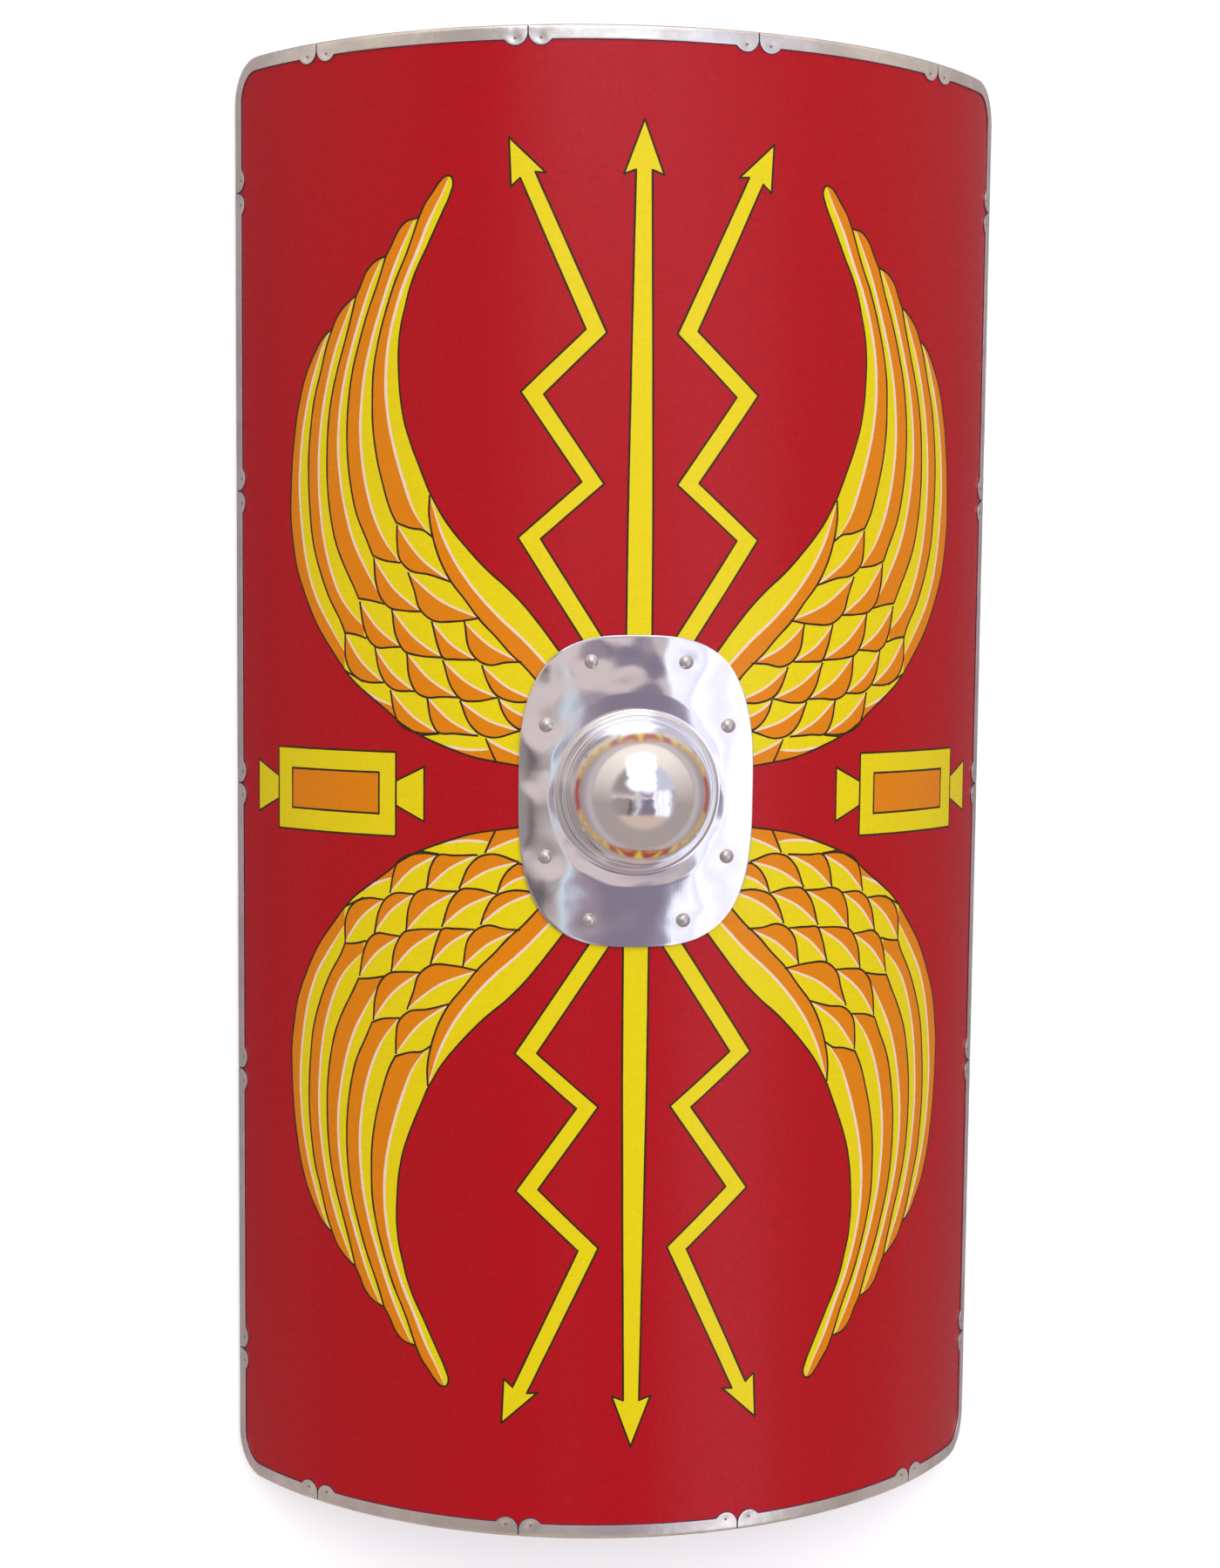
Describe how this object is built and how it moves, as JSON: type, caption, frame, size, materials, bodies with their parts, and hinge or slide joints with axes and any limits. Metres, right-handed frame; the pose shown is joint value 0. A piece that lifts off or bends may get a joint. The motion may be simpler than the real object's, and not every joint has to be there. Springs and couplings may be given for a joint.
{
  "type": "roman scutum shield",
  "caption": "Curved rectangular Roman legionary shield of painted plywood with a metal edge binding, a domed boss over the hand hole and a wooden cross grip behind.",
  "frame": {"origin": "centre of the bounding box's base, on the surface that the two long edges lie on", "axes": "+Y towards the shield's top, +Z out of the boss, +X to the right as seen from the front"},
  "size_m": [0.5702, 1.0602, 0.2336],
  "materials": {
    "board": "plywood faced with linen, painted red with yellow and orange wings, arrows and tablets, satin",
    "binding": "dull satin sheet, slightly dented",
    "boss": "bare sheet polished by hand",
    "rivets": "round heads, lightly polished",
    "grip": "oiled ash",
    "screws": "plain"
  },
  "bodies": {
    "root": {"board": "board", "rim_top_left": "binding", "rim_top_middle": "binding", "rim_top_right": "binding", "rim_corner_top_right": "binding", "rim_right_1": "binding", "rim_right_2": "binding", "rim_right_3": "binding", "rim_right_4": "binding", "rim_corner_bottom_right": "binding", "rim_bottom_right": "binding", "rim_bottom_middle": "binding", "rim_bottom_left": "binding", "rim_corner_bottom_left": "binding", "rim_left_4": "binding", "rim_left_3": "binding", "rim_left_2": "binding", "rim_left_1": "binding", "rim_corner_top_left": "binding", "boss": "boss", "rivet_top_left_outer": "rivets", "rivet_top_left_side": "rivets", "rivet_top_right_outer": "rivets", "rivet_top_right_side": "rivets", "rivet_bottom_left_outer": "rivets", "rivet_bottom_left_side": "rivets", "rivet_bottom_right_outer": "rivets", "rivet_bottom_right_side": "rivets", "grip": "grip", "grip_screw_left_upper": "screws", "grip_screw_left_lower": "screws", "grip_screw_right_upper": "screws", "grip_screw_right_lower": "screws"}
  },
  "joints": []
}
